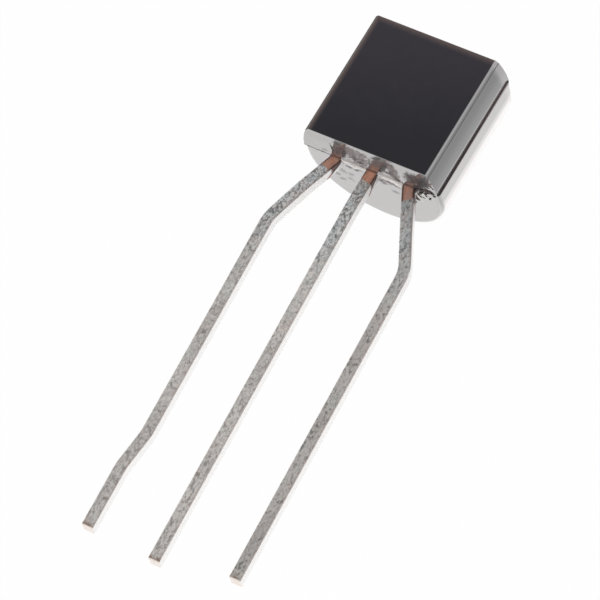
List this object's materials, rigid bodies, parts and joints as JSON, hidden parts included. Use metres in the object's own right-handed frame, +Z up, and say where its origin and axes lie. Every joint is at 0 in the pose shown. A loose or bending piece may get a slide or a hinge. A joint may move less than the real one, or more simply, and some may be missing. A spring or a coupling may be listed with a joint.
{
  "type": "to-92 transistor",
  "caption": "Small transistor with a black moulded D-shaped body, a flat front, a round back and long tinned leads, splayed and bent back, for a through-hole board.",
  "frame": {"origin": "middle of the box's underside, on the surface that the part lies on", "axes": "+Z up from the surface, out of the flat but for a lean of 4.6 degrees; +Y from the lead tips to the body's top; +X across the body, from the collector lead to the emitter lead"},
  "size_m": [0.0053, 0.0182, 0.0042],
  "materials": {
    "epoxy": "black moulding epoxy, satin from the mould",
    "tinned_copper": "dull mottled tin over copper, bare copper next to the body",
    "die_solder": "soft solder",
    "silicon": "polished silicon",
    "bond_wire": "drawn gold"
  },
  "bodies": {
    "root": {"epoxy_body": "epoxy", "collector_lead": "tinned_copper", "base_lead": "tinned_copper", "emitter_lead": "tinned_copper", "die_solder": "die_solder", "silicon_die": "silicon", "base_wire": "bond_wire", "emitter_wire": "bond_wire"}
  },
  "joints": []
}
